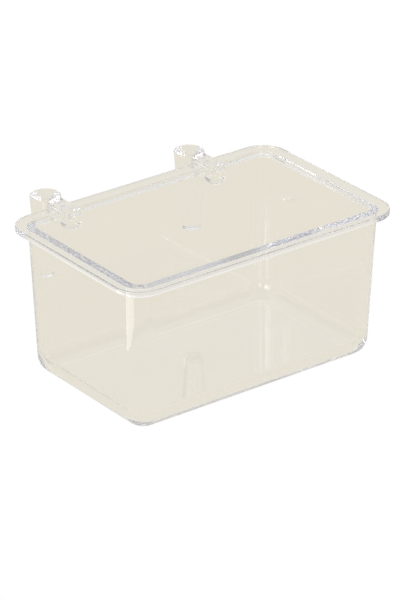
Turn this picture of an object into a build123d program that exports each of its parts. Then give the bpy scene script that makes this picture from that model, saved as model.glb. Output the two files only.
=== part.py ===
from build123d import *
import os

# A clear moulded cage cup: an open tub with a flanged rim, and two hooks that clip over its back rim.
# Sizes are in millimetres. The origin is the centre of the tub's base. X runs along the length,
# the front faces -Y, the hooks are on the +Y side, and +Z is up.

# Tub
rim_length = 110.0
rim_depth = 71.5
tub_height = 53.5
base_length = 98.5
base_depth = 61.0
wall_thickness = 2.5
wall_corner_radius = 6.2
base_corner_radius = 7.2
base_edge_radius = 6.1
mouth_corner_radius = 3.7
floor_corner_radius = 6.0
floor_edge_radius = 5.4
flange_overhang = 3.9
flange_thickness = 2.0
flange_corner_radius = 9.3
flange_edge_radius = 0.5
flange_root_radius = 0.6
mouth_edge_radius = 0.9

# Hooks
left_hook_x = -33.8
right_hook_x = 26.0
rim_clearance = 0.12
arm_width = 6.5
arm_thickness = 1.5
saddle_edge_radius = 0.6
leg_thickness = 3.7
leg_depth = 5.1
leg_corner_radius = 2.5
lip_reach = 1.3
lip_thickness = 1.3
peg_gap = 1.1
peg_length = 28.3
peg_top_radius = 5.3
peg_tip_radius = 3.2
peg_edge_radius = 0.35

# Worked out from the sizes above
wall_length = rim_length - 2 * flange_overhang
wall_depth = rim_depth - 2 * flange_overhang
flange_underside_z = tub_height - flange_thickness
wall_face_y = wall_depth / 2 - wall_thickness
wall_lean = (wall_depth - base_depth) / 2 / tub_height
rim_edge_y = rim_depth / 2
saddle_z = tub_height + rim_clearance
hook_top_z = saddle_z + arm_thickness
leg_back_y = wall_face_y - leg_depth * wall_lean - rim_clearance
leg_front_y = leg_back_y - leg_thickness
leg_tip_z = tub_height - leg_depth
heel_y = rim_edge_y + rim_clearance
lip_y = heel_y - lip_reach
lip_top_z = flange_underside_z - rim_clearance
lip_tip_z = lip_top_z - lip_thickness
peg_y = rim_edge_y + peg_gap + peg_top_radius
peg_tip_z = hook_top_z - peg_length


def rounded_plate(length, depth, corner_radius, z):
    """A flat rounded rectangle at height z, centred on the tub."""
    return Plane.XY.offset(z) * RectangleRounded(length, depth, corner_radius)


def drafted_block(inset, low_corner_radius, high_corner_radius, edge_radius):
    """The tub's outer shape shrunk by inset at the sides and bottom, with a round bottom edge."""
    rise = inset / tub_height
    length = base_length + rise * (wall_length - base_length) - 2 * inset
    depth = base_depth + rise * (wall_depth - base_depth) - 2 * inset
    low = rounded_plate(length, depth, low_corner_radius, inset)
    high = rounded_plate(wall_length - 2 * inset, wall_depth - 2 * inset, high_corner_radius, tub_height)
    block = loft([low.face(), high.face()], ruled=True)
    return fillet(block.edges().group_by(Axis.Z)[0], edge_radius)


def is_flange_root(edge):
    """True for the edges where the wall's outside meets the flange's underside."""
    middle = edge.center()
    at_underside = abs(middle.Z - flange_underside_z) < flange_edge_radius / 2
    within_wall = abs(middle.X) < wall_length / 2 and abs(middle.Y) < wall_depth / 2
    return at_underside and within_wall


def make_tub():
    """The cup: drafted walls, a floor with a wide radius round it, and a flange round the mouth."""
    flange = extrude(
        rounded_plate(rim_length, rim_depth, flange_corner_radius, flange_underside_z), flange_thickness
    )
    rim_loops = flange.edges().group_by(Axis.Z)
    flange = fillet(rim_loops[0] + rim_loops[-1], flange_edge_radius)
    tub = drafted_block(0, base_corner_radius, wall_corner_radius, base_edge_radius) + flange
    tub = fillet(tub.edges().filter_by(is_flange_root), flange_root_radius)
    tub -= drafted_block(wall_thickness, floor_corner_radius, mouth_corner_radius, floor_edge_radius)
    mouth = tub.edges().group_by(Axis.Z)[-1].filter_by(
        lambda edge: abs(edge.center().X) < wall_length / 2 and abs(edge.center().Y) < wall_depth / 2
    )
    return fillet(mouth, mouth_edge_radius)


def make_saddle():
    """The leg inside the tub, the arm over the rim, and the heel with a lip under the flange."""
    outline = Polyline(
        (leg_front_y, hook_top_z),
        (leg_front_y, leg_tip_z),
        (leg_back_y, leg_tip_z),
        (leg_back_y, saddle_z),
        (heel_y, saddle_z),
        (heel_y, lip_top_z),
        (lip_y, lip_top_z),
        (lip_y, lip_tip_z),
        (peg_y, lip_tip_z),
        (peg_y, hook_top_z),
        close=True,
    )
    profile = Plane.YZ * make_face(outline)
    saddle = extrude(profile, arm_width / 2, both=True)
    toe_corners = saddle.edges().filter_by(Axis.Y).group_by(Axis.Z)[0]
    saddle = fillet(toe_corners, leg_corner_radius)
    front = saddle.faces().sort_by(Axis.Y)[0]
    top = saddle.faces().sort_by(Axis.Z)[-1]
    return fillet(front.edges() + top.edges(), saddle_edge_radius)


def make_hook():
    """One hook at X = 0: the saddle, and the solid tapered peg that hangs behind the rim."""
    peg = Cone(peg_tip_radius, peg_top_radius, peg_length, align=(Align.CENTER, Align.CENTER, Align.MIN))
    peg = fillet(peg.edges().filter_by(GeomType.CIRCLE), peg_edge_radius)
    return make_saddle() + Pos(0, peg_y, peg_tip_z) * peg


hook = make_hook()
pieces = {
    "tub": make_tub(),
    "left_hook": Pos(left_hook_x, 0, 0) * hook,
    "right_hook": Pos(right_hook_x, 0, 0) * hook,
}
os.makedirs("parts", exist_ok=True)
for name, piece in pieces.items():
    export_step(piece, f"parts/{name}.step")
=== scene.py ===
import bpy
import math
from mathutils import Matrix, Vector


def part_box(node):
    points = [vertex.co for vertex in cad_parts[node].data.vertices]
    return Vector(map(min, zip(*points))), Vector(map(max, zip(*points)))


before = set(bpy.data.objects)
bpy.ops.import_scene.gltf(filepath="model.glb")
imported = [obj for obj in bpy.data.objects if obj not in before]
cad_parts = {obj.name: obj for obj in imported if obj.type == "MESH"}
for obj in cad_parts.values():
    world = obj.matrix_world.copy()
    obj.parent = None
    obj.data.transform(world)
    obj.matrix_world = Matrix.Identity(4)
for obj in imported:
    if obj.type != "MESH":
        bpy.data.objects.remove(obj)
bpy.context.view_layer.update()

# Camera, in metres and degrees, about the middle of the tub
camera_azimuth = -37.3
camera_elevation = 25.86
camera_distance = 1.303
camera_lens = 235.2
aim_left = 0.00093
aim_down = 0.0039
camera_reach = 20

# Clear plastic, with polystyrene's refraction. Density is per metre.
refraction_index = 1.585
clear_tint = (0.77, 0.79, 0.93, 1.0)
clear_density = 2.2
polish_roughness = 0.012
smudge_roughness = 0.03
hairline_roughness = 0.16

# Surface detail: each scale is in features to the metre, each height in metres
smooth_detail = 1.0
rough_detail = 4.0
ripple_scale = 55
ripple_height = 0.00001
grain_scale = 1400
grain_height = 0.0000003
smudge_scale = 70
smudge_start = 0.45
smudge_full = 0.75
hairline_scale = 60
hairline_stretch = (1, 9, 9)
hairline_turns = ((0.3, 0.2, 0.5), (0.9, 1.4, 2.3))
hairline_spread = 0.00003
noise_middle = 0.5
patch_scale = 35
patch_start = 0.52
patch_full = 0.68

# Studio: distances in metres, brightness against a white of 1, display colours from 0 to 255
card_colour = (230, 225, 211)
room_colour = (250, 249, 247)
floor_half_width = 4.0
floor_drop = 0.0005
room_brightness = 0.48
glow_direction = (0.4, 0.85, 0.35)
glow_edge = 0.4
glow_core = 0.9
glow_brightness = 0.38
horizon_top = 0.3
horizon_brightness = 0.45
most_bounces = 96
softboxes = {
    "left_card": {
        "centre": (-0.1018, -0.0182, 0.1),
        "facing": (0.906, -0.423, 0),
        "width": 0.058,
        "height": 0.2,
        "brightness": 2.0,
    },
    "left_softbox": {
        "centre": (-0.4, 0, 0.28),
        "facing": (1, 0, -0.5),
        "width": 0.4,
        "height": 0.3,
        "brightness": 2.5,
    },
    "front_softbox": {
        "centre": (-0.306, -0.765, 0.42),
        "facing": (0.34, 0.85, -0.4),
        "width": 0.3,
        "height": 0.4,
        "brightness": 2.5,
    },
}


def linear(red, green, blue):
    """A display colour, each channel from 0 to 255, as linear values, by the sRGB curve."""

    def channel(value):
        share = value / 255
        return share / 12.92 if share <= 0.04045 else ((share + 0.055) / 1.055) ** 2.4

    return (channel(red), channel(green), channel(blue), 1.0)


def add_camera():
    """A long-lens camera, front left and above, aimed a little left of and below the tub's middle."""
    low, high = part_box("tub")
    middle = (low + high) / 2
    azimuth = math.radians(camera_azimuth)
    elevation = math.radians(camera_elevation)
    back = Vector(
        (
            math.sin(azimuth) * math.cos(elevation),
            -math.cos(azimuth) * math.cos(elevation),
            math.sin(elevation),
        )
    )
    right = Vector((math.cos(azimuth), math.sin(azimuth), 0))
    up = back.cross(right)
    aim = middle - right * aim_left - up * aim_down
    data = bpy.data.cameras.new("camera")
    data.lens = camera_lens
    data.clip_end = camera_reach
    camera = bpy.data.objects.new("camera", data)
    camera.location = middle + back * camera_distance
    camera.rotation_euler = (aim - camera.location).to_track_quat("-Z", "Y").to_euler()
    bpy.context.scene.collection.objects.link(camera)
    bpy.context.scene.camera = camera


def maths(tree, operation, first, second):
    """A Math node on two inputs, each of them an output socket or a number."""
    node = tree.nodes.new("ShaderNodeMath")
    node.operation = operation
    for place, value in enumerate((first, second)):
        if isinstance(value, bpy.types.NodeSocket):
            tree.links.new(value, node.inputs[place])
        else:
            node.inputs[place].default_value = value
    return node.outputs["Value"]


def ranged(tree, value, low, high, to_low, to_high):
    """The value carried smoothly from low..high to to_low..to_high, and held past the ends."""
    node = tree.nodes.new("ShaderNodeMapRange")
    node.interpolation_type = "SMOOTHSTEP"
    node.inputs["From Min"].default_value = low
    node.inputs["From Max"].default_value = high
    node.inputs["To Min"].default_value = to_low
    node.inputs["To Max"].default_value = to_high
    tree.links.new(value, node.inputs["Value"])
    return node.outputs["Result"]


def noise(tree, place, scale, detail=2.0, stretch=(1, 1, 1), turn=(0, 0, 0)):
    """Noise over a place, multiplied by stretch and then turned, with scale features to the metre."""
    mapping = tree.nodes.new("ShaderNodeMapping")
    mapping.inputs["Rotation"].default_value = turn
    mapping.inputs["Scale"].default_value = stretch
    tree.links.new(place, mapping.inputs["Vector"])
    texture = tree.nodes.new("ShaderNodeTexNoise")
    texture.inputs["Scale"].default_value = scale
    texture.inputs["Detail"].default_value = detail
    tree.links.new(mapping.outputs["Vector"], texture.inputs["Vector"])
    return texture.outputs["Fac"]


def hairlines(tree, place, turn):
    """Fine scratches along X, 0 to 1, where drawn-out noise is at its middle. The turn varies them."""
    drawn_out = noise(tree, place, hairline_scale, smooth_detail, hairline_stretch, turn)
    offset = maths(tree, "SUBTRACT", drawn_out, noise_middle)
    lines = ranged(tree, maths(tree, "MULTIPLY", offset, offset), 0, hairline_spread, 1, 0)
    patches = ranged(tree, noise(tree, place, patch_scale), patch_start, patch_full, 0, 1)
    return maths(tree, "MULTIPLY", lines, patches)


def surface_bump(tree, place, scratches):
    """The moulding's long ripples and fine grain, with the scratches cut as deep as the grain."""
    ripple = maths(tree, "MULTIPLY", noise(tree, place, ripple_scale, smooth_detail), ripple_height)
    grain = maths(tree, "MULTIPLY", noise(tree, place, grain_scale), grain_height)
    cut = maths(tree, "MULTIPLY", scratches, grain_height)
    height = maths(tree, "SUBTRACT", maths(tree, "ADD", ripple, grain), cut)
    bump = tree.nodes.new("ShaderNodeBump")
    bump.inputs["Distance"].default_value = 1
    tree.links.new(height, bump.inputs["Height"])
    return bump.outputs["Normal"]


def clear_plastic(name):
    """Glossy see-through plastic, faintly blue where it's thick, with ripples, smudges and hairlines."""
    material = bpy.data.materials.new(name)
    material.use_nodes = True
    tree = material.node_tree
    shader = tree.nodes["Principled BSDF"]
    shader.inputs["Base Color"].default_value = (1, 1, 1, 1)
    shader.inputs["IOR"].default_value = refraction_index
    shader.inputs["Transmission Weight"].default_value = 1

    place = tree.nodes.new("ShaderNodeTexCoord").outputs["Object"]
    scratches = maths(tree, "MAXIMUM", *(hairlines(tree, place, turn) for turn in hairline_turns))
    handling = noise(tree, place, smudge_scale, rough_detail)
    smudges = ranged(tree, handling, smudge_start, smudge_full, polish_roughness, smudge_roughness)
    scuffs = maths(tree, "MULTIPLY", scratches, hairline_roughness)
    tree.links.new(maths(tree, "ADD", smudges, scuffs), shader.inputs["Roughness"])
    tree.links.new(surface_bump(tree, place, scratches), shader.inputs["Normal"])

    absorb = tree.nodes.new("ShaderNodeVolumeAbsorption")
    absorb.inputs["Color"].default_value = clear_tint
    absorb.inputs["Density"].default_value = clear_density
    tree.links.new(absorb.outputs["Volume"], tree.nodes["Material Output"].inputs["Volume"])
    return material


def dress(node, material):
    """Puts one material in every slot of a CAD node."""
    for slot in node.material_slots:
        slot.material = material


def burn_out(tree, light, output):
    """Gives rays straight from the camera plain white, and all others the light. Used on the stage only."""
    path = tree.nodes.new("ShaderNodeLightPath")
    white = tree.nodes.new(light.bl_idname)
    white.inputs["Color"].default_value = (1, 1, 1, 1)
    mix = tree.nodes.new("ShaderNodeMixShader")
    tree.links.new(path.outputs["Is Camera Ray"], mix.inputs["Fac"])
    tree.links.new(light.outputs[0], mix.inputs[1])
    tree.links.new(white.outputs[0], mix.inputs[2])
    tree.links.new(mix.outputs["Shader"], output.inputs["Surface"])


def add_floor():
    """A lit cream card under the cup."""
    bpy.ops.mesh.primitive_plane_add(size=2 * floor_half_width, location=(0, 0, -floor_drop))
    floor = bpy.context.object
    floor.name = "floor"
    material = bpy.data.materials.new("cream_card")
    material.use_nodes = True
    tree = material.node_tree
    tree.nodes.clear()
    card = tree.nodes.new("ShaderNodeEmission")
    card.inputs["Color"].default_value = linear(*card_colour)
    burn_out(tree, card, tree.nodes.new("ShaderNodeOutputMaterial"))
    floor.data.materials.append(material)


def add_world():
    """A dim room with a lit band round its foot and a soft glow at the back."""
    world = bpy.data.worlds.new("studio")
    bpy.context.scene.world = world
    world.use_nodes = True
    tree = world.node_tree
    tree.nodes.clear()
    facing = tree.nodes.new("ShaderNodeVectorMath")
    facing.operation = "DOT_PRODUCT"
    facing.inputs[1].default_value = Vector(glow_direction).normalized()
    direction = tree.nodes.new("ShaderNodeTexCoord").outputs["Generated"]
    tree.links.new(direction, facing.inputs[0])
    glow = ranged(tree, facing.outputs["Value"], glow_edge, glow_core, 0, glow_brightness)
    height = tree.nodes.new("ShaderNodeSeparateXYZ")
    tree.links.new(direction, height.inputs["Vector"])
    band = ranged(tree, height.outputs["Z"], 0, horizon_top, horizon_brightness, 0)
    room = tree.nodes.new("ShaderNodeBackground")
    room.inputs["Color"].default_value = linear(*room_colour)
    lit = maths(tree, "ADD", maths(tree, "ADD", glow, band), room_brightness)
    tree.links.new(lit, room.inputs["Strength"])
    burn_out(tree, room, tree.nodes.new("ShaderNodeOutputWorld"))


def add_softbox(name, centre, facing, width, height, brightness):
    """A soft rectangular lamp at centre that shines along facing."""
    data = bpy.data.lights.new(name, "AREA")
    data.shape = "RECTANGLE"
    data.size = width
    data.size_y = height
    data.energy = brightness * width * height * math.pi
    lamp = bpy.data.objects.new(name, data)
    lamp.location = centre
    lamp.rotation_euler = Vector(facing).to_track_quat("-Z", "Y").to_euler()
    lamp.visible_camera = False
    bpy.context.scene.collection.objects.link(lamp)
    return lamp


def light_studio():
    """Three lamps. Rays through the plastic miss the left card, or it would show as a white block."""
    lamps = {name: add_softbox(name, **placing) for name, placing in softboxes.items()}
    lamps["left_card"].visible_transmission = False


def set_up_render():
    """Plain display colours, and enough bounces for light guided inside the plastic."""
    scene = bpy.context.scene
    scene.view_settings.view_transform = "Standard"
    # Light runs along the rim and the walls by dozens of inner reflections before it gets out
    scene.cycles.max_bounces = most_bounces
    scene.cycles.transmission_bounces = most_bounces
    scene.cycles.glossy_bounces = most_bounces


add_camera()
add_world()
add_floor()
light_studio()
dress(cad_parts["tub"], clear_plastic("clear_tub_plastic"))
hook_plastic = clear_plastic("clear_hook_plastic")
for side in ("left", "right"):
    dress(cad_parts[f"{side}_hook"], hook_plastic)
set_up_render()
